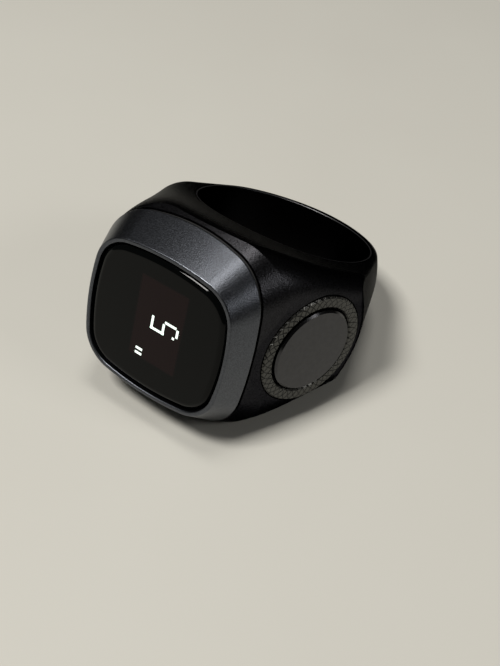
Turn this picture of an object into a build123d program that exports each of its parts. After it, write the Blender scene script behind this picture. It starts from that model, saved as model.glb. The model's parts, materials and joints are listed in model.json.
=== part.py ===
"""Counting finger ring: a signet-shaped ring with a display, a side button and a vibration motor.

The ring is modelled with the finger bore along Z, the display facing -Y and the button on the +X
shoulder. Every piece is then tipped back by one angle, so that the ring lies on its side as it does
on a table, with the bore's centre at the origin.
"""
import os
from math import acos, atan2, cos, degrees, hypot, radians, sin, tan

from build123d import *

# Finger bore and band
bore_radius = 10.0
sleeve_wall = 0.4
sleeve_fit = 0.02
sleeve_rim_round = 0.12
band_wall = 1.7
band_width = 6.2
waist_width = 10.8
band_edge_round = 0.8

# Stack of the head, from the sleeve out to the display
floor_wall = 1.0
flex_thickness = 0.2
tape_thickness = 0.1
cell_thickness = 3.6
cell_headroom = 0.5
board_thickness = 0.6
board_headroom = 1.4
carrier_floor = 0.6
panel_thickness = 1.3
panel_bond = 0.1
glass_thickness = 1.7

# Display opening and bezel
opening_side_margin = 0.9
opening_top_margin = 0.4
opening_side_bow = 0.9
opening_top_bow = 1.0
opening_corner = 3.7
bezel_land = 0.4
bezel_depth = 3.9
side_flank_angle = 23.0
top_flank_angle = 30.3
bezel_back_bow = 0.5
bezel_back_corner = 5.6
bezel_edge_round = 0.15
seam_radius = 45.0
seam_gap = 0.25
seam_step = 0.1
seam_seal_inset = 0.35
glass_gap = 0.12
glass_edge_round = 0.75
ledge_width = 0.45
ledge_thickness = 0.8
gasket_thickness = 0.1

# Head of the shell
shoulder_angle = 18.6
head_corner = 7.0
shoulder_corner = 3.0
plain_shoulder_corner = 5.6
band_corner = 1.6
corner_share = 0.95
blank_spare = 0.5
crease_margin = 0.65
spigot_wall = 1.0
spigot_fit = 0.05
cavity_corner = 1.8

# Cell, board and display parts
cell_width = 9.6
cell_length = 11.2
cell_round = 0.5
end_margin = 1.5
cell_post_gap = 0.2
board_clearance = 0.2
carrier_clearance = 0.3
panel_width = 10.4
panel_length = 11.2
panel_fit = 0.05
post_radius = 0.9
screw_radius = 0.5
screw_fit = 0.15
screw_hole_fit = 0.02
screw_head_radius = 0.9
screw_head_clearance = 0.4
screw_head_height = 0.45
screw_length = 3.0
leg_width = 2.0
leg_thickness = 0.8

# Counting button
button_setback = 7.7
button_radius = 4.65
button_thickness = 1.0
button_proud = 0.42
button_chamfer = 0.2
button_travel = 0.3
button_groove = 0.2
trim_width = 1.25
trim_gap = 0.12
trim_proud = 0.18
trim_chamfer = 0.15
recess_spare = 0.12
guide_wall = 0.9
stem_radius = 1.45
stem_fit = 0.05
seal_depth = 0.25
seal_width = 0.45
seal_land = 0.07
seal_fit = 0.03
clip_radius = 2.3
clip_depth = 0.35
clip_thickness = 0.25
clip_gap = 0.06
clip_mouth = 0.9
stem_tail = 0.4

# Tactile switch under the button
switch_gap = 0.03
switch_size = 3.6
switch_height = 1.0
switch_floor_wall = 0.2
switch_cover_thickness = 0.1
plunger_radius = 0.8
plunger_fit = 0.06
plunger_spare = 0.1
plunger_flange_radius = 1.1
dome_radius = 1.25
dome_spare = 0.05
dome_thickness = 0.06
side_board_size = 4.8
side_board_thickness = 0.5
switch_pocket_size = 5.4
pocket_reach = 5.6
pocket_spare = 0.1

# Coin vibration motor under the other shoulder
motor_radius = 3.5
motor_height = 2.2
motor_skin = 0.2
motor_base_thickness = 0.3
motor_wall = 1.3
motor_fit = 0.15
motor_shaft_radius = 0.4
motor_shaft_fit = 0.05
rotor_radius = 2.9
rotor_thickness = 1.0
rotor_hub_radius = 0.9
rotor_gap = 0.25

# Charging contacts in the bore
contact_radius = 1.2
contact_stem_radius = 0.6
contact_head = 0.9
contact_recess = 0.08
contact_pitch = 6.0
contact_seal = 0.3
contact_fit = 0.03

# Small parts on the board and ribbons
controller_size = 4.0
controller_height = 0.8
charger_size = 2.0
charger_height = 0.6
crystal_length = 2.0
crystal_width = 1.6
crystal_height = 0.5
antenna_length = 3.2
antenna_width = 1.6
antenna_height = 0.6
capacitor_length = 1.0
capacitor_width = 0.5
capacitor_height = 0.5
capacitor_pitch = 1.0
capacitor_count = 4
part_spacing = 0.5
ribbon_thickness = 0.12
ribbon_width = 5.0
socket_width = 6.0
socket_depth = 1.4
socket_height = 0.7
tab_width = 1.6
tab_thickness = 0.12
tab_spacing = 5.0
narrow_ribbon = 2.4

# Distances ahead of the bore axis, from the sleeve to the display front
sleeve_outer = bore_radius + sleeve_wall
floor_at = sleeve_outer + floor_wall
tape_at = floor_at + flex_thickness
cell_at = tape_at + tape_thickness
cell_top = cell_at + cell_thickness
board_at = cell_top + cell_headroom
board_top = board_at + board_thickness
carrier_at = board_top + board_headroom
panel_at = carrier_at + carrier_floor
glass_at = panel_at + panel_thickness + panel_bond
front_at = glass_at + glass_thickness
ledge_top = glass_at - gasket_thickness
ledge_back = ledge_top - ledge_thickness
seam_at = front_at - bezel_depth

# Sizes that follow from the driving ones; the reach is longer than the whole ring
reach = 4 * front_at
band_outer = bore_radius + band_wall
post_inset = screw_head_radius + screw_head_clearance
cavity_width = cell_width + 2 * (cell_post_gap + post_radius + post_inset)
cavity_length = max(cell_length, panel_length) + 2 * end_margin
opening_width = cavity_width + 2 * opening_side_margin
opening_height = cavity_length + 2 * opening_top_margin
board_width = cavity_width - 2 * board_clearance
board_length = cavity_length - 2 * board_clearance
spigot_width = cavity_width + 2 * spigot_wall
spigot_length = cavity_length + 2 * spigot_wall
carrier_width = cavity_width - 2 * carrier_clearance
carrier_length = cavity_length - 2 * carrier_clearance
post_x = cavity_width / 2 - post_inset
post_z = cavity_length / 2 - post_inset
trim_inner = button_radius + button_groove
trim_outer = trim_inner + trim_width
contact_back = bore_radius + contact_recess + contact_head
plunger_stand = button_travel + plunger_spare
dome_rise = button_travel + dome_thickness + dome_spare
left_column = -board_width / 4
right_column = board_width / 4
upper_row = board_length / 8
socket_z = socket_depth - panel_length / 2 + part_spacing


def bezel_half_width(depth):
    """Half the bezel's width across the side flanks, at a depth behind its front."""
    return opening_width / 2 + bezel_land + depth * tan(radians(side_flank_angle))


def bezel_half_height(depth):
    """Half the bezel's height across the top and bottom flanks, at a depth behind its front."""
    return opening_height / 2 + bezel_land + depth * tan(radians(top_flank_angle))


# The shoulder facet leaves the bezel's side edge at the seam and flares towards the back
seam_half_height = bezel_half_height(bezel_depth) - seam_step
seam_side_depth = bezel_depth - bezel_half_width(bezel_depth) ** 2 / (2 * seam_radius)
seam_half_width = bezel_half_width(seam_side_depth) - seam_step
seam_side_at = front_at - seam_side_depth
flare = radians(shoulder_angle)
facet_along = Vector(sin(flare), cos(flare), 0)
facet_normal = Vector(cos(flare), -sin(flare), 0)
button_centre = Vector(seam_half_width, -seam_side_at, 0) + facet_along * button_setback
button_plane = Plane(origin=button_centre, x_dir=facet_along, z_dir=facet_normal)
motor_plane = Plane(
    origin=(-button_centre.X, button_centre.Y, 0),
    x_dir=(-facet_along.X, facet_along.Y, 0),
    z_dir=(-facet_normal.X, facet_normal.Y, 0),
)

# Places along the button's axis, outward from the facet
recess_floor = button_proud - button_thickness - button_travel - recess_spare
guide_back = recess_floor - guide_wall
clip_top = guide_back - clip_gap
clip_bottom = clip_top - clip_thickness
stem_end = clip_bottom - stem_tail
plunger_top = stem_end - switch_gap
switch_top = plunger_top - plunger_stand
switch_bottom = switch_top - switch_height
switch_floor = switch_bottom + switch_floor_wall
side_board_back = switch_bottom - side_board_thickness
switch_pocket_floor = side_board_back - ribbon_thickness - pocket_spare
seal_top = recess_floor - seal_land
motor_top = -motor_wall
motor_bottom = motor_top - motor_height
motor_pocket_floor = motor_bottom - ribbon_thickness - pocket_spare

# Tilt at which the lower bezel edge and the back of the band both touch the table
lay_tilt = degrees(atan2(seam_half_height - band_width / 2, seam_at + band_outer))
lay = Location((0, 0, 0), (-lay_tilt, 0, 0))


def front_plane(distance):
    """Plane square to the display's normal, at a distance ahead of the bore axis."""
    return Plane(origin=(0, -distance, 0), x_dir=(1, 0, 0), z_dir=(0, -1, 0))


def rod(plane, radius, low, high, x=0.0, y=0.0):
    """Cylinder along a plane's normal, between two heights."""
    return plane * Pos(x, y, (low + high) / 2) * Cylinder(radius, high - low)


def tube(plane, outer, inner, low, high, x=0.0, y=0.0):
    """Ring with square section along a plane's normal."""
    return rod(plane, outer, low, high, x, y) - rod(plane, inner, low, high, x, y)


def block(plane, x_range, y_range, z_range):
    """Box on a plane, given by its low and high corners."""
    sizes = [high - low for low, high in (x_range, y_range, z_range)]
    middle = [(high + low) / 2 for low, high in (x_range, y_range, z_range)]
    return plane * Pos(*middle) * Box(*sizes)


def group(pieces):
    """Separate solids that share one node."""
    return Compound([piece.solid() for piece in pieces])


def chip(x, z, width, length, low, height):
    """Rectangular part lying square to the display's normal, centred at x, z."""
    return block(
        front_plane(0),
        (x - width / 2, x + width / 2),
        (z - length / 2, z + length / 2),
        (low, low + height),
    )


def bowed_outline(width, height, side_bow, top_bow, corner):
    """Near-square outline with bowed sides and rounded corners."""
    half_width = width / 2
    half_height = height / 2
    corner_x = half_width - side_bow
    corner_y = half_height - top_bow
    sides = [
        ThreePointArc((corner_x, -corner_y), (half_width, 0), (corner_x, corner_y)),
        ThreePointArc((corner_x, corner_y), (0, half_height), (-corner_x, corner_y)),
        ThreePointArc((-corner_x, corner_y), (-half_width, 0), (-corner_x, -corner_y)),
        ThreePointArc((-corner_x, -corner_y), (0, -half_height), (corner_x, -corner_y)),
    ]
    face = make_face(sides)
    return fillet(face.vertices(), corner)


def opening_outline(inset):
    """The display opening, drawn in by an inset on every side."""
    return bowed_outline(
        opening_width - 2 * inset,
        opening_height - 2 * inset,
        opening_side_bow,
        opening_top_bow,
        opening_corner - inset,
    )


def bezel_outline(depth, inset=0.0):
    """The bezel's outer outline at a depth behind its front."""
    share = depth / bezel_depth
    side_bow = opening_side_bow + share * (bezel_back_bow - opening_side_bow)
    top_bow = opening_top_bow + share * (bezel_back_bow - opening_top_bow)
    front_corner = opening_corner + bezel_land
    corner = front_corner + share * (bezel_back_corner - front_corner)
    return bowed_outline(
        2 * (bezel_half_width(depth) - inset),
        2 * (bezel_half_height(depth) - inset),
        side_bow,
        top_bow,
        corner - inset,
    )


def seam_zone(extra):
    """Everything ahead of the curved seam between bezel and shell."""
    radius = seam_radius + extra
    return Pos(0, -(seam_at + seam_radius), 0) * Cylinder(radius, reach)


def side_half_width(y):
    """Half the ring's width along the finger, at a place fore or aft of the bore axis."""
    waist = waist_width / 2
    band = band_width / 2
    if y <= 0:
        return waist + (seam_half_height - waist) * (-y / seam_at)
    return waist + (band - waist) * min(y / band_outer, 1)


def side_corner(y, at_shoulder):
    """Radius of the long edges between the sides and a shoulder, fore or aft of the bore axis."""
    if y <= -bore_radius:
        forward = (-y - bore_radius) / (seam_at - bore_radius)
        return at_shoulder + forward * (head_corner - at_shoulder)
    band = band_width / 2
    share = (side_half_width(y) - band) / (side_half_width(-bore_radius) - band)
    return band_corner + share * (at_shoulder - band_corner)


def blank_outline(y):
    """Section across the ring; the shoulder without the button has rounder corners."""
    half_width = button_centre.X + (y - button_centre.Y) * tan(flare)
    half_height = side_half_width(y)
    largest = corner_share * min(half_width, half_height)
    outline = Rectangle(2 * half_width, 2 * half_height)
    outline = fillet(outline.vertices().sort_by(Axis.X)[2:], min(side_corner(y, shoulder_corner), largest))
    plain_corners = outline.vertices().sort_by(Axis.X)[:2]
    return fillet(plain_corners, min(side_corner(y, plain_shoulder_corner), largest))


def ring_blank():
    """Outer form of the ring with no hollows: flared head, shoulder facets and crowned band."""
    head_end = -seam_side_at - blank_spare
    stations = [head_end, -bore_radius, 0, bore_radius / 2, bore_radius, band_outer + band_wall]
    flared = loft([front_plane(-y) * blank_outline(y) for y in stations])

    # The back is a ball round the finger that runs out into a cone up to the shoulder creases
    crease = button_centre + facet_along * (trim_outer + crease_margin)
    distance = hypot(crease.X, crease.Y)
    touch = atan2(crease.Y, crease.X) + acos(band_outer / distance)
    touch_point = Vector(band_outer * cos(touch), band_outer * sin(touch), 0)
    far_point = touch_point + (crease - touch_point).normalized() * reach
    middle = (touch + radians(90)) / 2
    profile = make_face(
        [
            Line((0, band_outer), (0, far_point.Y)),
            Line((0, far_point.Y), (far_point.X, far_point.Y)),
            Line((far_point.X, far_point.Y), (touch_point.X, touch_point.Y)),
            ThreePointArc(
                (touch_point.X, touch_point.Y),
                (band_outer * cos(middle), band_outer * sin(middle)),
                (0, band_outer),
            ),
        ]
    )
    crowned = revolve(profile, Axis.Y, 360)
    blank = flared & crowned
    round_faces = [f for f in blank.faces() if f.geom_type in (GeomType.SPHERE, GeomType.CONE)]
    seen = [edge for face in round_faces for edge in face.edges()]
    rim = [edge for edge in seen if seen.count(edge) == 1]
    return fillet(rim, band_edge_round)


def make_body_shell(blank):
    """Housing of head and band, hollow for the electronics, with button and motor pockets."""
    shell = (blank & bezel_flank(seam_step)) - seam_zone(seam_gap)
    spigot_base = seam_at - spigot_wall
    spigot = RectangleRounded(spigot_width, spigot_length, cavity_corner + spigot_wall)
    shell += extrude(front_plane(spigot_base) * spigot, amount=ledge_back - spigot_fit - spigot_base)
    cavity = RectangleRounded(cavity_width, cavity_length, cavity_corner)
    shell -= extrude(front_plane(floor_at) * cavity, amount=front_at - floor_at)
    for x, z in post_places():
        shell += rod(front_plane(0), post_radius, floor_at - floor_wall / 2, board_at, x, z)
    for x, z in screw_places():
        hole = screw_radius + screw_hole_fit
        shell -= rod(front_plane(0), hole, board_at - screw_length, board_at, x, z)
    shell -= Cylinder(sleeve_outer, reach)
    shell -= rod(button_plane, trim_outer + trim_gap, recess_floor, front_at)
    shell -= rod(button_plane, stem_radius + stem_fit, side_board_back, recess_floor)
    half_pocket = switch_pocket_size / 2
    shell -= block(
        button_plane,
        (-pocket_reach, half_pocket),
        (-half_pocket, half_pocket),
        (switch_pocket_floor, guide_back),
    )
    motor_hole = motor_radius + motor_fit
    shell -= rod(motor_plane, motor_hole, motor_pocket_floor, motor_top)
    shell -= block(
        motor_plane,
        (-pocket_reach, 0),
        (-motor_hole, motor_hole),
        (motor_pocket_floor, motor_top),
    )
    for z in contact_places():
        wide = contact_radius + contact_seal
        narrow = contact_stem_radius + contact_fit
        shell -= rod(front_plane(0), wide, 0, contact_back, 0, z)
        shell -= rod(front_plane(0), narrow, 0, floor_at, 0, z)
    return shell


def make_inner_sleeve(blank):
    """Thin liner of the finger bore, flush with the shell's sides, with its rims rounded."""
    wall = Cylinder(sleeve_outer - sleeve_fit, reach) - Cylinder(bore_radius, reach)
    sleeve = wall & blank
    middle_radius = bore_radius + sleeve_wall / 2
    round_faces = [f for f in sleeve.faces() if f.geom_type == GeomType.CYLINDER]
    inner = [f for f in round_faces if f.radius < middle_radius]
    rims = [e for f in inner for e in f.edges() if e.bounding_box().size.X > bore_radius / 2]
    sleeve = fillet(rims, sleeve_rim_round)
    for z in contact_places():
        sleeve -= rod(front_plane(0), contact_radius + contact_fit, 0, floor_at, 0, z)
    return sleeve


def bezel_flank(inset):
    """Solid tapered form inside the bezel's flanks, drawn in by an inset."""
    length = front_at + band_outer + band_wall
    front = front_plane(front_at) * bezel_outline(0, inset)
    back = front_plane(front_at - length) * bezel_outline(length, inset)
    return loft([front, back], ruled=True)


def make_bezel_frame():
    """Tapered frame that carries the glass on a ledge and fits over the shell's spigot."""
    frame = bezel_flank(0) & seam_zone(0)
    frame -= extrude(front_plane(ledge_top) * opening_outline(0), amount=front_at - ledge_top)
    frame -= extrude(front_plane(floor_at) * opening_outline(ledge_width), amount=front_at - floor_at)
    recess = RectangleRounded(
        spigot_width + 2 * spigot_fit,
        spigot_length + 2 * spigot_fit,
        cavity_corner + spigot_wall + spigot_fit,
    )
    frame -= extrude(front_plane(floor_at) * recess, amount=ledge_back - floor_at)
    front_edges = frame.edges().group_by(Axis.Y)[0]
    frame = fillet(front_edges, bezel_edge_round)
    seam_face = frame.faces().filter_by(GeomType.CYLINDER).sort_by(SortBy.AREA)[-1]
    return fillet(seam_face.outer_wire().edges(), bezel_edge_round)


def make_bezel_gasket():
    """Thin seal between bezel and shell, drawn in so that the seam shows as a fine groove."""
    opening = RectangleRounded(
        spigot_width + 2 * spigot_fit,
        spigot_length + 2 * spigot_fit,
        cavity_corner + spigot_wall + spigot_fit,
    )
    seal = bezel_flank(seam_seal_inset) & seam_zone(seam_gap)
    seal -= seam_zone(0)
    return seal - extrude(front_plane(floor_at) * opening, amount=front_at - floor_at)


def make_cover_glass():
    """Cover glass with a rounded front edge."""
    glass = extrude(front_plane(glass_at) * opening_outline(glass_gap), amount=glass_thickness)
    return fillet(glass.edges().group_by(Axis.Y)[0], glass_edge_round)


def make_glass_gasket():
    """Adhesive seal that holds the glass on the bezel's ledge."""
    ring = opening_outline(glass_gap) - opening_outline(ledge_width)
    return extrude(front_plane(ledge_top) * ring, amount=gasket_thickness)


def make_oled_panel():
    """Display panel behind the glass."""
    return chip(0, 0, panel_width, panel_length, panel_at, panel_thickness)


def make_display_carrier():
    """Frame that holds the panel behind the glass and stands on the board."""
    outer = RectangleRounded(carrier_width, carrier_length, cavity_corner - carrier_clearance)
    outer &= opening_outline(ledge_width + carrier_clearance)
    carrier = extrude(front_plane(carrier_at) * outer, amount=panel_at + panel_thickness - carrier_at)
    seat_width = panel_width + 2 * panel_fit
    seat_length = panel_length + 2 * panel_fit
    carrier -= chip(0, 0, seat_width, seat_length, panel_at, panel_thickness)
    notch = ribbon_width + 2 * part_spacing
    notch_height = panel_at + panel_thickness - carrier_at
    carrier -= chip(0, -panel_length / 2, notch, 2 * part_spacing, carrier_at, notch_height)
    for side in (-1, 1):
        x = side * (carrier_width - leg_thickness) / 2
        carrier += chip(x, 0, leg_thickness, leg_width, board_top, carrier_at - board_top)
    return carrier


def make_display_flex():
    """Ribbon from the panel's lower edge back to the socket on the board."""
    edge = -panel_length / 2
    run_at = board_top + socket_height / 2
    down = block(
        front_plane(0),
        (-ribbon_width / 2, ribbon_width / 2),
        (edge - ribbon_thickness, edge),
        (run_at, panel_at + panel_thickness / 2),
    )
    across = block(
        front_plane(0),
        (-ribbon_width / 2, ribbon_width / 2),
        (edge - ribbon_thickness, socket_z - socket_depth / 2),
        (run_at, run_at + ribbon_thickness),
    )
    return down + across


def make_flex_connector():
    """Socket of the display ribbon."""
    return chip(0, socket_z, socket_width, socket_depth, board_top, socket_height)


def make_main_board():
    """Circuit board on the shell's posts."""
    plate = RectangleRounded(board_width, board_length, cavity_corner - board_clearance)
    board = extrude(front_plane(board_at) * plate, amount=board_thickness)
    for x, z in screw_places():
        board -= rod(front_plane(0), screw_radius + screw_fit, board_at, board_top, x, z)
    return board


def make_board_screws():
    """Small screws that hold the board on its posts."""
    screws = []
    for x, z in screw_places():
        tip = board_at - screw_length + screw_fit
        shank = rod(front_plane(0), screw_radius, tip, board_top, x, z)
        head = rod(front_plane(0), screw_head_radius, board_top, board_top + screw_head_height, x, z)
        screws.append(shank + head)
    return group(screws)


def make_controller_chip():
    """Microcontroller with the radio."""
    return chip(left_column, upper_row, controller_size, controller_size, board_top, controller_height)


def make_charger_chip():
    """Charging and protection chip."""
    return chip(right_column, upper_row, charger_size, charger_size, board_top, charger_height)


def make_crystal():
    """Clock crystal beside the controller."""
    z = upper_row + (controller_size + crystal_width) / 2 + part_spacing
    return chip(left_column, z, crystal_length, crystal_width, board_top, crystal_height)


def make_chip_antenna():
    """Ceramic antenna at the board's upper edge."""
    z = board_length / 2 - antenna_width / 2 - part_spacing
    x = antenna_length / 2 + part_spacing
    return chip(x, z, antenna_length, antenna_width, board_top, antenna_height)


def make_board_capacitors():
    """Row of small capacitors under the charging chip."""
    row_z = upper_row - charger_size / 2 - capacitor_length - part_spacing
    first = right_column - capacitor_pitch * (capacitor_count - 1) / 2
    return group(
        [
            chip(
                first + i * capacitor_pitch,
                row_z,
                capacitor_width,
                capacitor_length,
                board_top,
                capacitor_height,
            )
            for i in range(capacitor_count)
        ]
    )


def make_battery_cell():
    """Pouch cell with rounded edges, under the board."""
    cell = chip(0, 0, cell_width, cell_length, cell_at, cell_thickness)
    return fillet(cell.edges().filter_by(Axis.Z), cell_round)


def make_battery_tape():
    """Adhesive pad that holds the cell on the contact ribbon."""
    margin = 2 * cell_round
    return chip(0, 0, cell_width - margin, cell_length - margin, tape_at, tape_thickness)


def make_battery_tabs():
    """Two welded tabs from the cell's end up to the board."""
    z = cell_length / 2 + tab_thickness / 2
    low = cell_at + cell_thickness / 2
    return group(
        [
            chip(side * tab_spacing / 2, z, tab_width, tab_thickness, low, board_at - low)
            for side in (-1, 1)
        ]
    )


def make_charge_contacts():
    """Two gold contacts, seated from the bore, with stems that reach the contact ribbon."""
    pins = []
    for z in contact_places():
        head = rod(front_plane(0), contact_radius, bore_radius + contact_recess, contact_back, 0, z)
        stem = rod(front_plane(0), contact_stem_radius, contact_back, floor_at, 0, z)
        pins.append(head + stem)
    return group(pins)


def make_contact_seals():
    """Sealing rings round the heads of the charging contacts."""
    outer = contact_radius + contact_seal - contact_fit
    inner = contact_radius + contact_fit
    return group(
        [
            tube(front_plane(0), outer, inner, sleeve_outer + contact_fit, contact_back, 0, z)
            for z in contact_places()
        ]
    )


def make_contact_flex():
    """Ribbon under the cell, from the contacts to the cell's side and up to the board."""
    left = -cell_width / 2 - part_spacing
    half = contact_pitch / 2 + contact_radius
    pad = block(front_plane(0), (left, contact_radius), (-half, half), (floor_at, tape_at))
    riser = block(
        front_plane(0),
        (left, left + ribbon_thickness),
        (-narrow_ribbon / 2, narrow_ribbon / 2),
        (floor_at, board_at),
    )
    return pad + riser


def make_button_cap():
    """Polished disc with a stem grooved for its seal and its clip."""
    disc = rod(button_plane, button_radius, button_proud - button_thickness, button_proud)
    disc = chamfer(disc.faces().sort_by(Axis(button_centre, facet_normal))[-1].edges(), button_chamfer)
    cap = disc + rod(button_plane, stem_radius, stem_end, button_proud - button_thickness)
    cap -= tube(button_plane, stem_radius, stem_radius - seal_depth, seal_top - seal_width, seal_top)
    return cap - tube(button_plane, stem_radius, stem_radius - clip_depth, clip_bottom, clip_top)


def make_button_trim_ring():
    """Ring fixed in the shoulder round the disc."""
    ring = tube(button_plane, trim_outer, trim_inner, recess_floor, trim_proud)
    top = ring.faces().sort_by(Axis(button_centre, facet_normal))[-1]
    return chamfer(top.edges(), trim_chamfer)


def make_button_seal():
    """Sealing ring in the stem's groove."""
    inner = stem_radius - seal_depth
    return tube(button_plane, stem_radius + seal_fit, inner, seal_top - seal_width, seal_top)


def make_button_clip():
    """Retaining clip in the stem's groove, which stops the button from falling out."""
    inner = stem_radius - clip_depth
    clip = tube(button_plane, clip_radius, inner, clip_bottom, clip_top)
    mouth = block(
        button_plane, (0, clip_radius + clip_mouth), (-clip_mouth, clip_mouth), (clip_bottom, clip_top)
    )
    return clip - mouth


def make_switch_board():
    """Small board that carries the tactile switch."""
    half = side_board_size / 2
    return block(button_plane, (-half, half), (-half, half), (side_board_back, switch_bottom))


def make_switch_base():
    """Moulded base of the switch, with a round well for the dome."""
    half = switch_size / 2
    top = switch_top - switch_cover_thickness
    base = block(button_plane, (-half, half), (-half, half), (switch_bottom, top))
    return base - rod(button_plane, dome_radius + plunger_fit, switch_floor, top)


def make_switch_cover():
    """Sheet metal cover that keeps the plunger in."""
    half = switch_size / 2
    low = switch_top - switch_cover_thickness
    plate = block(button_plane, (-half, half), (-half, half), (low, switch_top))
    return plate - rod(button_plane, plunger_radius + plunger_fit, low, switch_top)


def make_switch_dome():
    """Snap dome that springs the plunger back and closes the contact."""
    ball = (dome_radius**2 + dome_rise**2) / (2 * dome_rise)
    centre = button_plane * Pos(0, 0, switch_floor + dome_rise - ball)
    shell = centre * Sphere(ball) - centre * Sphere(ball - dome_thickness)
    return shell & rod(button_plane, dome_radius, switch_floor, switch_top)


def make_switch_plunger():
    """Plunger between the button's stem and the dome."""
    low = switch_floor + dome_rise + switch_gap
    high = switch_top - switch_cover_thickness - switch_gap
    pin = rod(button_plane, plunger_radius, low, plunger_top)
    return pin + rod(button_plane, plunger_flange_radius, low, high)


def ribbon_to_board(plane, start, top):
    """Narrow ribbon along a plane, from a part under a shoulder to the main board's back."""
    half = narrow_ribbon / 2
    run = block(plane, (-front_at, start), (-half, half), (top - ribbon_thickness, top))
    behind_board = block(front_plane(0), (-reach, reach), (-reach, reach), (0, board_at))
    return run & behind_board


def make_switch_flex():
    """Ribbon from the switch board to the main board."""
    return ribbon_to_board(button_plane, side_board_size / 2, side_board_back)


def make_motor_flex():
    """Ribbon from the motor's base to the main board."""
    return ribbon_to_board(motor_plane, 0, motor_bottom)


def make_motor_can():
    """Drawn steel can of the vibration motor."""
    low = motor_bottom + motor_base_thickness
    inside = rod(motor_plane, motor_radius - motor_skin, low, motor_top - motor_skin)
    return rod(motor_plane, motor_radius, low, motor_top) - inside


def make_motor_base():
    """Base plate of the vibration motor."""
    return rod(motor_plane, motor_radius, motor_bottom, motor_bottom + motor_base_thickness)


def make_motor_shaft():
    """Fixed shaft between the can and its base."""
    low = motor_bottom + motor_base_thickness
    return rod(motor_plane, motor_shaft_radius, low, motor_top - motor_skin)


def make_motor_rotor():
    """Eccentric half-disc weight with a hub that turns on the shaft."""
    low = motor_bottom + motor_base_thickness + rotor_gap
    high = low + rotor_thickness
    half = block(motor_plane, (0, rotor_radius), (-rotor_radius, rotor_radius), (low, high))
    weight = rod(motor_plane, rotor_radius, low, high) & half
    weight += rod(motor_plane, rotor_hub_radius, low, high)
    return weight - rod(motor_plane, motor_shaft_radius + motor_shaft_fit, low, high)


def post_places():
    """Corners of the cavity that carry the board."""
    return [(sx * post_x, sz * post_z) for sx in (-1, 1) for sz in (-1, 1)]


def screw_places():
    """The two posts, on a diagonal, that take a screw."""
    return [(post_x, post_z), (-post_x, -post_z)]


def contact_places():
    """Places of the charging contacts along the bore."""
    return [-contact_pitch / 2, contact_pitch / 2]


def make_pieces():
    """Every piece of the ring, by name, in the ring's own axes."""
    blank = ring_blank()
    return {
        "body_shell": make_body_shell(blank),
        "inner_sleeve": make_inner_sleeve(blank),
        "bezel_frame": make_bezel_frame(),
        "bezel_gasket": make_bezel_gasket(),
        "cover_glass": make_cover_glass(),
        "glass_gasket": make_glass_gasket(),
        "oled_panel": make_oled_panel(),
        "display_carrier": make_display_carrier(),
        "display_flex": make_display_flex(),
        "flex_connector": make_flex_connector(),
        "main_board": make_main_board(),
        "board_screws": make_board_screws(),
        "controller_chip": make_controller_chip(),
        "charger_chip": make_charger_chip(),
        "crystal": make_crystal(),
        "chip_antenna": make_chip_antenna(),
        "board_capacitors": make_board_capacitors(),
        "battery_cell": make_battery_cell(),
        "battery_tape": make_battery_tape(),
        "battery_tabs": make_battery_tabs(),
        "charge_contacts": make_charge_contacts(),
        "contact_seals": make_contact_seals(),
        "contact_flex": make_contact_flex(),
        "button_cap": make_button_cap(),
        "button_trim_ring": make_button_trim_ring(),
        "button_seal": make_button_seal(),
        "button_clip": make_button_clip(),
        "switch_board": make_switch_board(),
        "switch_base": make_switch_base(),
        "switch_cover": make_switch_cover(),
        "switch_dome": make_switch_dome(),
        "switch_plunger": make_switch_plunger(),
        "switch_flex": make_switch_flex(),
        "motor_can": make_motor_can(),
        "motor_base": make_motor_base(),
        "motor_shaft": make_motor_shaft(),
        "motor_rotor": make_motor_rotor(),
        "motor_flex": make_motor_flex(),
    }


def main():
    os.makedirs("parts", exist_ok=True)
    for name, piece in make_pieces().items():
        export_step(lay * piece, f"parts/{name}.step")
        print(name, round(piece.volume, 2))


if __name__ == "__main__":
    main()
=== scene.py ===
# %% [markdown]
# # A counting ring on a pale table
#
# The real object is a chunky signet ring with a small display and one press button. The solids come
# from the CAD model and are never moved here. This scene gives each of them its finish and lights
# the ring as it lies on a table. It adds two things of its own: the lit digits, and a smooth copy of
# the spring dome that stands in for the CAD one.

# %% Load the ring
import json
import math

import bmesh
import bpy
from mathutils import Euler, Matrix, Vector


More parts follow.
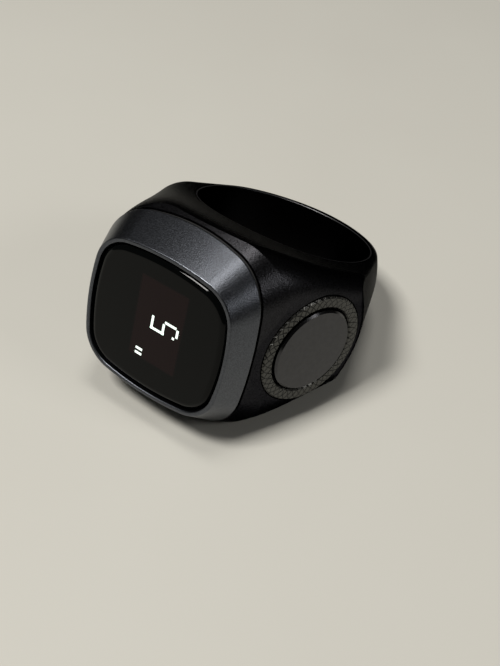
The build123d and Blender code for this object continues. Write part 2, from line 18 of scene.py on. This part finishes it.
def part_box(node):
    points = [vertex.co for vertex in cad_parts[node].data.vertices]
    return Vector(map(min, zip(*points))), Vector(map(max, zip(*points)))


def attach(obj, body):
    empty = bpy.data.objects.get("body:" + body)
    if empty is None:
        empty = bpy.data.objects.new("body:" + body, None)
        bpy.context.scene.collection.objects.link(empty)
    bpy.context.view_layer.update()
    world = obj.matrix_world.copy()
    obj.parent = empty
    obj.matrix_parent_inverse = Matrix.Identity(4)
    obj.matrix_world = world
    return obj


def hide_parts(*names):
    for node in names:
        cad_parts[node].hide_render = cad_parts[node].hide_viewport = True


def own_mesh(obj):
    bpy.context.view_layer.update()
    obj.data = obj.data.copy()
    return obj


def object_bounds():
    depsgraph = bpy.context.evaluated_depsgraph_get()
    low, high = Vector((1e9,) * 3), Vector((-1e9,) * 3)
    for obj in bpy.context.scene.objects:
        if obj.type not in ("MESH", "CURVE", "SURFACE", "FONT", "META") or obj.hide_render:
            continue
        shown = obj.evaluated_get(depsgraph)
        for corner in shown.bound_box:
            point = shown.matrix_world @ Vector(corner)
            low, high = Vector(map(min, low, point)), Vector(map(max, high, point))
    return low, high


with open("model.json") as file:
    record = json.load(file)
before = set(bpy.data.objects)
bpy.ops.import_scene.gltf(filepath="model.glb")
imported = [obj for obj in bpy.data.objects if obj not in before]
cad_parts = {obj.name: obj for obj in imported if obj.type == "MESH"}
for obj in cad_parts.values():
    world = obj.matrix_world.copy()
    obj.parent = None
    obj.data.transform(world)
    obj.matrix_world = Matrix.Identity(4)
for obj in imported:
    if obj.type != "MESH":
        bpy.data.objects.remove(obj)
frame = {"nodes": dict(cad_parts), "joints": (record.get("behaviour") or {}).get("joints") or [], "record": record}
cad_box = [list(corner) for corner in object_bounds()]
nodes = frame["nodes"]
mm = 0.001
print("nodes", len(nodes), "box in mm", [[round(value / mm, 2) for value in corner] for corner in cad_box])

# %% [markdown]
# ## Axes of the ring
#
# The ring lies on its side and leans back a little, so its own axes are turned against the table's.
# The finger bore gives one axis and the button's slide gives another. What follows the display or the
# button is laid out on the planes that these two give, in millimetres.

# %% Axes of the display and of the button
bore = frame["record"]["mounts"][0]
joints = {joint["name"]: joint for joint in frame["joints"]}
bore_axis = Vector(bore["axis"]).normalized()
across = Vector((1.0, 0.0, 0.0))
front = across.cross(bore_axis)
lean = math.atan2(bore_axis.y, bore_axis.z)
button_out = -Vector(joints["button_press"]["axis"]).normalized()
glass_front = max(vertex.co.dot(front) for vertex in nodes["cover_glass"].data.vertices)
display_axes = Matrix((across, bore_axis, front)).transposed().to_4x4()
display_place = Matrix.Translation(front * glass_front) @ display_axes
print("lean", round(math.degrees(lean), 2), "display front at", round(glass_front / mm, 2), "mm")

# %% [markdown]
# ## Camera
#
# The photograph looks down on the ring from its right front, from about a hand's width away, so the
# perspective is strong. The lens is one of normal length. The camera's place, in millimetres, and its
# turn, in degrees, were found by laying the ring's own curves over the picture: display, seam, button
# and bore rim.

# %% Camera
image_height = 666
focal_pixels = 950.0
camera_place = (42.3131, -71.9495, 68.5192)
camera_turn = (46.1334, -4.6381, 36.1171)
nearest_seen = 5.0
camera_data = bpy.data.cameras.new("close_camera")
camera_data.sensor_fit = "VERTICAL"
camera_data.sensor_height = 36.0
camera_data.lens = focal_pixels * camera_data.sensor_height / image_height
camera_data.clip_start = nearest_seen * mm
camera = bpy.data.objects.new("close_camera", camera_data)
camera.location = Vector(camera_place) * mm
camera.rotation_euler = Euler([math.radians(degrees) for degrees in camera_turn])
bpy.context.scene.collection.objects.link(camera)
bpy.context.scene.camera = camera
bpy.context.scene.view_settings.view_transform = "Standard"
print("lens", round(camera_data.lens, 2), "mm, distance", round(camera.location.length / mm, 1), "mm")

# %% [markdown]
# ## Helpers for the finishes
#
# Colours are written as the hex values that one would pick from a picture, and one function turns
# them to the linear values that shaders use. Sizes of patterns are written in millimetres. One
# function adds a node with its settings and its links. Another starts a new material, and the last
# lets one pattern lead the surface: its colour, its roughness and its relief can follow the same
# pattern, as they do on a real surface.


# %% Colours, sizes and nodes
def linear(hex_colour):
    """Linear RGBA from an sRGB hex value."""
    parts = [int(hex_colour[start : start + 2], 16) / 255 for start in (1, 3, 5)]
    curve = [part / 12.92 if part <= 0.04045 else ((part + 0.055) / 1.055) ** 2.4 for part in parts]
    return (*curve, 1.0)


def per_mm(size_in_mm):
    """Scale of a pattern whose features are this large."""
    return 1.0 / (size_in_mm * mm)


def add(tree, kind, inputs=(), **settings):
    """Adds one node; an input is a value, or the socket that feeds it."""
    node = tree.nodes.new(kind)
    for name, value in settings.items():
        setattr(node, name, value)
    for name, value in dict(inputs).items():
        if isinstance(value, bpy.types.NodeSocket):
            tree.links.new(value, node.inputs[name])
        else:
            node.inputs[name].default_value = value
    return node


# %% Materials and what leads them
def finish(name, colour, roughness, **sockets):
    """New material: returns it with its node tree and its surface shader."""
    material = bpy.data.materials.new(name)
    material.use_nodes = True
    shader = material.node_tree.nodes["Principled BSDF"]
    shader.inputs["Base Color"].default_value = linear(colour)
    shader.inputs["Roughness"].default_value = roughness
    for socket, value in sockets.items():
        shader.inputs[socket.replace("_", " ")].default_value = value
    return material, material.node_tree, shader


def lead_surface(tree, shader, pattern, stops=(), roughness=(), height=0.0, colours="Base Color"):
    """One pattern leads what is given: (position, colour) stops, a roughness range, a relief in mm."""
    if stops:
        tint = add(tree, "ShaderNodeValToRGB", {"Fac": pattern})
        for position, _ in stops[1:-1]:
            tint.color_ramp.elements.new(position)
        for element, (position, colour) in zip(tint.color_ramp.elements, stops):
            element.position = position
            element.color = linear(colour)
        tree.links.new(tint.outputs["Color"], shader.inputs[colours])
    if roughness:
        levels = {"Value": pattern, "To Min": roughness[0], "To Max": roughness[1]}
        shade = add(tree, "ShaderNodeMapRange", levels)
        tree.links.new(shade.outputs["Result"], shader.inputs["Roughness"])
    if height:
        bump = add(tree, "ShaderNodeBump", {"Height": pattern, "Distance": height * mm})
        tree.links.new(bump.outputs["Normal"], shader.inputs["Normal"])


# %% [markdown]
# ## Table
#
# The table is a pale matt top, large enough to reach past the frame from any side. A slow cloud of
# two near colours keeps it from looking like paper.

# %% Table top
table_radius = 2.5
table_sides = 96
floor_height = cad_box[0][2]
table_mesh = bmesh.new()
bmesh.ops.create_circle(table_mesh, cap_ends=True, segments=table_sides, radius=table_radius)
bmesh.ops.translate(table_mesh, verts=table_mesh.verts, vec=(0.0, 0.0, floor_height))
table_data = bpy.data.meshes.new("table_top")
table_mesh.to_mesh(table_data)
table_mesh.free()
table = bpy.data.objects.new("table_top", table_data)
bpy.context.scene.collection.objects.link(table)
print("table at", round(floor_height / mm, 2), "mm")

# %% Table finish
cloud_size = 40.0
laminate, tree, shader = finish("Pale matt laminate", "#c9c7bf", 0.6)
place = add(tree, "ShaderNodeTexCoord").outputs["Object"]
cloud = add(tree, "ShaderNodeTexNoise", {"Vector": place, "Scale": per_mm(cloud_size), "Detail": 3.0})
lead_surface(tree, shader, cloud.outputs["Fac"], ((0.0, "#c9c7bf"), (1.0, "#d0cfc7")))
table.data.materials.append(laminate)
print(laminate.name, "on", table.name)

# %% [markdown]
# ## Light
#
# The shadow in the photograph gives the main lamp's direction: from the left front and high up. A
# lamp overhead makes the bright streak at the bezel's corner, and one from the right and behind draws
# the sheen along the rounded shoulder. The room itself is dim, which is why the black parts stay
# black. Each row of the list gives a lamp's name, its direction from the ring, its size in metres, its
# power in watts and its colour.

# %% Lamps and room
lamp_distance = 0.6
room_strength = 0.03
lamps = [
    ("main_lamp", (-0.23, -0.41, 0.88), 0.15, 2.85, "#fffcf7"),
    ("overhead_lamp", (-0.05, 0.09, 0.99), 0.16, 0.82, "#fffcf7"),
    ("shoulder_lamp", (0.82, 0.18, 0.54), 0.16, 0.45, "#fdfcfa"),
]
for name, direction, size, power, colour in lamps:
    lamp = bpy.data.lights.new(name, "AREA")
    lamp.size = size
    lamp.energy = power
    lamp.color = linear(colour)[:3]
    holder = bpy.data.objects.new(name, lamp)
    holder.location = Vector(direction).normalized() * lamp_distance
    holder.rotation_euler = Vector(direction).to_track_quat("Z", "Y").to_euler()
    bpy.context.scene.collection.objects.link(holder)
    print(name, [round(value, 3) for value in holder.location])
room = bpy.data.worlds.new("dim_room")
room.use_nodes = True
backdrop = room.node_tree.nodes["Background"]
backdrop.inputs["Color"].default_value = linear("#f3f1ec")
backdrop.inputs["Strength"].default_value = room_strength
bpy.context.scene.world = room

# %% [markdown]
# ## Grained finishes
#
# Most finishes of this ring are a fine grain of one material: blasting grit, the texture of a mould or
# the crystals of a metal. On all of these, a high spot also differs a little in colour and gloss. So
# one function makes them, and a single noise leads all three.

# %% Grained finish
grain_range = (0.3, 0.7)


def grained(name, colours, roughness, grain, height, **sockets):
    """Finish with a fine grain; the grain's size and its height are in millimetres."""
    material, tree, shader = finish(name, colours[0], roughness[0], **sockets)
    place = add(tree, "ShaderNodeTexCoord").outputs["Object"]
    noise = add(tree, "ShaderNodeTexNoise", {"Vector": place, "Scale": per_mm(grain), "Detail": 2.0})
    stops = tuple(zip(grain_range, colours))
    lead_surface(tree, shader, noise.outputs["Fac"], stops, roughness, height)
    return material


def dress(material, *names):
    """Gives a finish to CAD nodes."""
    for name in names:
        nodes[name].data.materials.clear()
        nodes[name].data.materials.append(material)
    print(material.name, "on", ", ".join(names))


# %% [markdown]
# ## Satin black shell
#
# The housing is aluminium, fine-blasted and then dyed and sealed black. The eye gets a soft black
# with a weak sheen and a fine sparkle where the light grazes it. A dark metal gives that sheen, and
# its dark edge tint keeps the surface from turning grey where it is seen at a low angle. The grit is
# far finer than a pixel, so it is drawn at a sixth of a millimetre to show.

# %% Satin black finish
black = grained(
    "Anodised aluminium, satin black",
    colours=("#29292b", "#363639"),
    roughness=(0.23, 0.35),
    grain=0.16,
    height=0.02,
    Metallic=1.0,
    Specular_Tint=linear("#585858"),
)
dress(black, "body_shell")

# %% [markdown]
# ## Bead-blasted gunmetal bezel
#
# The frame round the display is the same alloy in a dark grey. Blasting with glass beads leaves tiny
# dimples, so highlights spread wide and break up into sparkle. To the eye it is a metal: it mirrors
# the table and the lamps in a grey tint. The dimples are drawn coarser than they are, to show.

# %% Gunmetal finish
gunmetal = grained(
    "Bead-blasted gunmetal aluminium",
    colours=("#47494e", "#5a5d63"),
    roughness=(0.26, 0.38),
    grain=0.14,
    height=0.016,
    Metallic=1.0,
)
dress(gunmetal, "bezel_frame")

# %% [markdown]
# ## Black bore liner
#
# The sleeve against the finger is a smooth, deep black. Its rounded rim carries a painted highlight:
# a thin light band in its colour that stands in for the lamps' glint on the rim's edge. The rim lies
# further from the bore's axis than the wall does, so the painted highlight is laid by the distance
# beyond the bore's radius, in millimetres.

# %% Liner finish
deep_black = "#0c0c0d"
painted_highlight = "#8a8a8c"
# painted highlight: a bright band on the rim, just beyond the bore's radius, in place of the lamps' glint
rim_highlight_stops = ((0.0, deep_black), (0.02, deep_black), (0.06, painted_highlight), (0.16, painted_highlight), (0.2, deep_black))
liner_grain = 0.4
edge_tint = linear("#4a4a4a")
liner, tree, shader = finish(
    "Anodised aluminium, smooth black", deep_black, 0.28, Metallic=1.0, Specular_Tint=edge_tint
)
place = add(tree, "ShaderNodeTexCoord").outputs["Object"]
grit = add(tree, "ShaderNodeTexNoise", {"Vector": place, "Scale": per_mm(liner_grain), "Detail": 2.0})
lead_surface(tree, shader, grit.outputs["Fac"], roughness=(0.28, 0.38), height=0.002)
turned = add(tree, "ShaderNodeMapping", {"Vector": place, "Rotation": (lean, 0.0, 0.0)}).outputs["Vector"]
flat = add(tree, "ShaderNodeVectorMath", {0: turned, 1: (1.0, 1.0, 0.0)}, operation="MULTIPLY")
radius = add(tree, "ShaderNodeVectorMath", {0: flat.outputs["Vector"]}, operation="LENGTH")
in_mm = {0: radius.outputs["Value"], 1: 1.0 / mm, 2: -bore["dims"]["r_mm"]}
beyond = add(tree, "ShaderNodeMath", in_mm, operation="MULTIPLY_ADD")
# paints the highlight band into the rim's colour
lead_surface(tree, shader, beyond.outputs["Value"], rim_highlight_stops)
dress(liner, "inner_sleeve")

# %% [markdown]
# ## Cover glass
#
# The glass is printed black on its back, apart from a clear window in front of the display panel,
# which shows as a faint reddish black. A coating keeps its reflection weak, so its IOR is set below
# that of bare glass. The window is drawn as a rectangle on the display's own plane: a Mapping node
# turns the coordinates by the ring's lean. Faint smears change the roughness a little.

# %% Cover glass finish
window_middle = (0.38, 0.53)
window_size = (5.6, 9.0)
window_blur = 0.12
smear_size = 3.0
glass, tree, shader = finish("Coated cover glass, printed black", "#050606", 0.04, IOR=1.22)
place = add(tree, "ShaderNodeTexCoord").outputs["Object"]
turned = add(tree, "ShaderNodeMapping", {"Vector": place, "Rotation": (lean, 0.0, 0.0)})
axis = add(tree, "ShaderNodeSeparateXYZ", {"Vector": turned.outputs["Vector"]})
inside = []
for socket, centre, size in zip(("X", "Z"), window_middle, window_size):
    offset = add(tree, "ShaderNodeMath", {0: axis.outputs[socket], 1: centre * mm}, operation="SUBTRACT")
    distance = add(tree, "ShaderNodeMath", {0: offset.outputs["Value"]}, operation="ABSOLUTE")
    limits = {"From Min": (size / 2 + window_blur) * mm, "From Max": (size / 2 - window_blur) * mm}
    edge = add(tree, "ShaderNodeMapRange", {"Value": distance.outputs["Value"], **limits})
    inside.append(edge.outputs["Result"])
window = add(tree, "ShaderNodeMath", {0: inside[0], 1: inside[1]}, operation="MULTIPLY")
lead_surface(tree, shader, window.outputs["Value"], ((0.0, "#050606"), (1.0, "#180d0e")))
smear = add(tree, "ShaderNodeTexNoise", {"Vector": place, "Scale": per_mm(smear_size), "Detail": 3.0})
lead_surface(tree, shader, smear.outputs["Fac"], roughness=(0.02, 0.08))
dress(glass, "cover_glass")

# %% [markdown]
# ## Lit digits
#
# The display shows one counted digit and two short bars before it, turned a quarter round. Each
# stroke is a thin rounded plate of light, a quarter of a millimetre wide, laid on the glass where the
# eye sees it. The strokes are placed on the display's plane in millimetres: first the middle, right
# and up, then the size. They glow a cool white, and neighbouring pixels differ a little in brightness.

# %% Digit strokes
stroke_width = 0.26
stroke_depth = 0.02
stroke_corner = 0.03
strokes = [
    ((-0.35, 0.58), (stroke_width, 1.48)),
    ((0.36, -0.03), (1.68, stroke_width)),
    ((1.03, 0.45), (stroke_width, 1.2)),
    ((1.79, 1.28), (1.4, stroke_width)),
    ((2.68, 0.75), (stroke_width, 0.9)),
    ((2.32, 0.08), (stroke_width, stroke_width)),
    ((-1.3, -3.08), (0.82, stroke_width)),
    ((-1.3, -3.62), (0.82, stroke_width)),
]
half_depth = stroke_depth * mm / 2
digit_mesh = bmesh.new()
for (right, up), (wide, tall) in strokes:
    size = Matrix.Diagonal((wide * mm, tall * mm, stroke_depth * mm, 1.0))
    shift = Matrix.Translation((right * mm, up * mm, half_depth))
    made = bmesh.ops.create_cube(digit_mesh, size=1.0, matrix=shift @ size)
    around = dict.fromkeys(edge for vertex in made["verts"] for edge in vertex.link_edges)
    upright = [edge for edge in around if abs((edge.verts[0].co - edge.verts[1].co).z) > half_depth]
    bmesh.ops.bevel(
        digit_mesh,
        geom=upright,
        offset=stroke_corner * mm,
        segments=3,
        profile=0.5,
        affect="EDGES",
        material=-1,
    )
bmesh.ops.transform(digit_mesh, matrix=display_place, verts=digit_mesh.verts)
digit_data = bpy.data.meshes.new("display_digits")
digit_mesh.to_mesh(digit_data)
digit_mesh.free()
digits = bpy.data.objects.new("display_digits", digit_data)
bpy.context.scene.collection.objects.link(digits)
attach(digits, "ring")
print("strokes", len(strokes))

# %% Lit pixels
pixel_pitch = 0.16
light, tree, shader = finish("Lit display pixels", "#dff0e6", 0.5, Emission_Strength=1.0)
place = add(tree, "ShaderNodeTexCoord").outputs["Object"]
pixels = add(tree, "ShaderNodeTexNoise", {"Vector": place, "Scale": per_mm(pixel_pitch)})
glow = ((0.0, "#d3eadc"), (1.0, "#f4fdf7"))
lead_surface(tree, shader, pixels.outputs["Fac"], glow, colours="Emission Color")
digits.data.materials.append(light)
print(light.name, "on", digits.name)

# %% [markdown]
# ## Button and its patterned ring
#
# The button is a flat polished disc of dark steel, which mirrors the table softly. The ring round it
# carries a fine pattern of crossing arcs, like overlapping scales, pressed into the metal. The arcs
# are drawn in the material: the coordinates are turned into the ring's plane, and two mirrored
# families of curved lines are made from the angle and the radius.

# %% Button disc finish
polished = grained(
    "Dark polished steel",
    colours=("#3f3f41", "#444446"),
    roughness=(0.16, 0.24),
    grain=0.5,
    height=0.0005,
    Metallic=1.0,
)
dress(polished, "button_cap")

# %% Patterned ring: angle and radius
arc_count = 44
pattern_radius = 5.5
low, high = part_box("button_trim_ring")
middle = tuple((low + high) / 2)
button_along = bore_axis.cross(button_out).normalized()
button_turn = tuple(Matrix((button_along, bore_axis, button_out)).to_euler("XYZ"))
patterned, tree, shader = finish("Pressed dark aluminium", "#4a4a48", 0.34, Metallic=1.0)
place = add(tree, "ShaderNodeTexCoord").outputs["Object"]
centred = add(tree, "ShaderNodeVectorMath", {0: place, 1: middle}, operation="SUBTRACT").outputs["Vector"]
turned = add(tree, "ShaderNodeMapping", {"Vector": centred, "Rotation": button_turn}).outputs["Vector"]
axis = add(tree, "ShaderNodeSeparateXYZ", {"Vector": turned})
angle = add(tree, "ShaderNodeMath", {0: axis.outputs["Y"], 1: axis.outputs["X"]}, operation="ARCTAN2")
spread = add(tree, "ShaderNodeMath", {0: angle.outputs["Value"], 1: arc_count / 2}, operation="MULTIPLY")
flat = add(tree, "ShaderNodeVectorMath", {0: turned, 1: (1.0, 1.0, 0.0)}, operation="MULTIPLY")
radius = add(tree, "ShaderNodeVectorMath", {0: flat.outputs["Vector"]}, operation="LENGTH")
in_mm = {0: radius.outputs["Value"], 1: 1.0 / mm, 2: -pattern_radius}
outward = add(tree, "ShaderNodeMath", in_mm, operation="MULTIPLY_ADD").outputs["Value"]
squared = add(tree, "ShaderNodeMath", {0: outward, 1: outward}, operation="MULTIPLY")
print("pattern round", [round(value / mm, 2) for value in middle], "mm")

# %% Patterned ring: two families of arcs
arc_slope = 3.2
arc_bend = 1.4
groove_edge = 0.4
groove_depth = 0.05
families = []
for side in (1.0, -1.0):
    sloped = {0: outward, 1: side * arc_slope, 2: spread.outputs["Value"]}
    straight = add(tree, "ShaderNodeMath", sloped, operation="MULTIPLY_ADD")
    bent = {0: squared.outputs["Value"], 1: side * arc_bend, 2: straight.outputs["Value"]}
    bowed = add(tree, "ShaderNodeMath", bent, operation="MULTIPLY_ADD")
    wave = add(tree, "ShaderNodeMath", {0: bowed.outputs["Value"]}, operation="SINE")
    families.append(add(tree, "ShaderNodeMath", {0: wave.outputs["Value"]}, operation="ABSOLUTE"))
nearest = {0: families[0].outputs["Value"], 1: families[1].outputs["Value"]}
grooves = add(tree, "ShaderNodeMath", nearest, operation="MINIMUM")
scales = add(tree, "ShaderNodeMapRange", {"Value": grooves.outputs["Value"], "From Max": groove_edge})
# painted shade: the pressed grooves are coloured darker than the ridges, in place of the shade in them
groove_shade_tones = ((0.0, "#1e1e1e"), (1.0, "#4a4a48"))
lead_surface(tree, shader, scales.outputs["Result"], groove_shade_tones, height=groove_depth)
dress(patterned, "button_trim_ring")

# %% [markdown]
# ## Seals, plastics and ceramics inside
#
# The rest is closed inside the ring, and is seen only when it is taken apart. Each part has the look
# of its real stuff: dull rubber for the seals, moulded plastic for carriers and the switch, dark
# epoxy for chips and fired ceramic for the smallest parts. All of these are plain grained surfaces,
# so one list makes them: name, two colours, two roughness values, grain and relief in millimetres,
# IOR, and the nodes that wear it.

# %% Finishes of the seals, plastics and ceramics
dielectrics = [
    # Dull and deep black, with the faint grain of its mould
    ("Moulded silicone rubber, black", ("#121212", "#1b1b1b"), (0.6, 0.75), 0.3, 0.004, 1.41,
     ("bezel_gasket", "glass_gasket", "contact_seals", "button_seal")),
    # Half-gloss black with a fine leathery grain
    ("Moulded polycarbonate, black", ("#17171a", "#212124"), (0.42, 0.58), 0.25, 0.006, 1.58,
     ("display_carrier", "switch_base")),
    # Quite matt and soft, with open pores
    ("Acrylic foam tape, black", ("#1c1c1c", "#2a2a2a"), (0.8, 0.95), 0.4, 0.02, 1.49,
     ("battery_tape",)),
    # Warm white with a waxy sheen
    ("Moulded nylon, ivory", ("#d8ceb3", "#e6ddc6"), (0.4, 0.55), 0.3, 0.004, 1.53,
     ("flex_connector", "switch_plunger")),
    # Greyish black and sandy from its filler
    ("Moulded epoxy, chip black", ("#1b1b1d", "#29292c"), (0.55, 0.7), 0.06, 0.003, 1.55,
     ("controller_chip", "charger_chip")),
    # Tan and matt, like unglazed tile
    ("Fired ceramic, tan", ("#a8957c", "#bba88e"), (0.5, 0.65), 0.12, 0.004, 1.77,
     ("chip_antenna", "board_capacitors")),
    # Nearly black, with a sharp clear gloss
    ("Panel glass over dark emitters", ("#0b090a", "#130e0f"), (0.08, 0.14), 0.3, 0.0005, 1.52,
     ("oled_panel",)),
]
for name, colours, roughness, grain, height, ior, wearers in dielectrics:
    dress(grained(name, colours, roughness, grain, height, IOR=ior), *wearers)

# %% [markdown]
# ## Metals inside
#
# Springs, cans and screws are bright steel, the charging pads are plated with gold, the cell's pouch
# is a soft wrinkled foil, and the motor's weight is a sintered heavy alloy with an open grain. The
# list has the same columns as the one above, without the IOR.

# %% Finishes of the metals
metals = [
    # Warm light grey with a soft gloss
    ("Nickel-plated steel, drawn", ("#a9a69f", "#bdbab3"), (0.25, 0.4), 0.2, 0.003,
     ("crystal", "battery_tabs", "switch_cover", "motor_can")),
    # Cooler grey with sharper glints
    ("Spring steel, bright", ("#94949a", "#a9a9af"), (0.2, 0.32), 0.15, 0.002,
     ("switch_dome", "button_clip", "motor_shaft", "board_screws")),
    # Clear yellow, nearly a mirror
    ("Gold plating over nickel", ("#d8a544", "#e6b95c"), (0.2, 0.32), 0.25, 0.002,
     ("charge_contacts",)),
    # Pale silver with soft wrinkles
    ("Laminated pouch foil", ("#b4b6b9", "#c9cbce"), (0.3, 0.45), 0.9, 0.03,
     ("battery_cell",)),
    # Dull dark grey with an open grain
    ("Sintered tungsten alloy", ("#6f6e6c", "#83827f"), (0.45, 0.6), 0.1, 0.008,
     ("motor_rotor",)),
]
for name, colours, roughness, grain, height, wearers in metals:
    dress(grained(name, colours, roughness, grain, height, Metallic=1.0), *wearers)

# %% [markdown]
# ## Snap dome
#
# Under the switch plunger sits a thin steel dome that snaps flat at each press. A copy of its mesh
# stands for it here, carried with the ring, and the CAD dome is hidden. The CAD mesh is cut open
# along its edges, so the copy is merged first, and shaded smooth between its sharp edges.

# %% Snap dome mesh
merge_distance = 0.001
smooth_angle = 30.0
dome_mesh = bmesh.new()
dome_mesh.from_mesh(nodes["switch_dome"].data)
bmesh.ops.remove_doubles(dome_mesh, verts=dome_mesh.verts, dist=merge_distance * mm)
dome_data = nodes["switch_dome"].data.copy()
dome_mesh.to_mesh(dome_data)
dome_mesh.free()
dome_data.attributes.remove(dome_data.attributes["custom_normal"])
dome_data.shade_smooth()
dome_data.set_sharp_from_angle(angle=math.radians(smooth_angle))
dome = bpy.data.objects.new("snap_dome", dome_data)
bpy.context.scene.collection.objects.link(dome)
print("snap dome faces", len(dome_data.polygons))

# %% Snap dome in place
low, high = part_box("switch_dome")
middle = (low + high) / 2
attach(dome, "ring")
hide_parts("switch_dome")
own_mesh(dome)

# %% [markdown]
# ## Boards and ribbons
#
# A board is glass epoxy under green lacquer, and its copper tracks show through as lighter lines.
# A brick pattern gives such straight tracks with breaks in them, laid on the board's plane. A ribbon
# is amber film with fine parallel tracks along it, which a wave pattern draws. A wave texture
# repeats every 2 pi / 20 of its own units, and its scale is set from the track spacing.

# %% Board finish
track_spacing = 0.6
track_length = 2.4
track_width = 0.08
track_height = 0.02
lacquer, tree, shader = finish("Solder-masked glass epoxy, green", "#0d4427", 0.38, IOR=1.55)
place = add(tree, "ShaderNodeTexCoord").outputs["Object"]
turned = add(tree, "ShaderNodeMapping", {"Vector": place, "Rotation": (lean - math.pi / 2, 0.0, 0.0)})
layout = {
    "Vector": turned.outputs["Vector"],
    "Scale": per_mm(1.0),
    "Brick Width": track_length,
    "Row Height": track_spacing,
    "Mortar Size": track_width,
}
tracks = add(tree, "ShaderNodeTexBrick", layout)
greens = ((0.0, "#0d4427"), (1.0, "#2b7a48"))
lead_surface(tree, shader, tracks.outputs["Fac"], greens, height=track_height)
dress(lacquer, "main_board", "switch_board", "motor_base")

# %% Ribbon finish
ribbon_pitch = 0.5
ribbon_height = 0.01
wave_period = 2 * math.pi / 20
ambers = ((0.45, "#8a4f10"), (0.6, "#c98433"))
ribbons = [("X", ("display_flex",)), ("Z", ("contact_flex", "switch_flex", "motor_flex"))]
for direction, wearers in ribbons:
    film, tree, shader = finish("Polyimide film, tracks along " + direction, "#8a4f10", 0.3, IOR=1.7)
    place = add(tree, "ShaderNodeTexCoord").outputs["Object"]
    turned = add(tree, "ShaderNodeMapping", {"Vector": place, "Rotation": (lean, 0.0, 0.0)})
    spacing = {"Vector": turned.outputs["Vector"], "Scale": wave_period * per_mm(ribbon_pitch)}
    tracks = add(tree, "ShaderNodeTexWave", spacing, bands_direction=direction)
    lead_surface(tree, shader, tracks.outputs["Fac"], ambers, height=ribbon_height)
    dress(film, *wearers)

# %% [markdown]
# ## Nodes without a finish
#
# Finishes add no size, so the box of the dressed ring has to be the box of the bare solids. The last
# line lists the nodes that were given no finish.

bare = [name for name, node in nodes.items() if not node.data.materials]
print("nodes without a finish", bare)
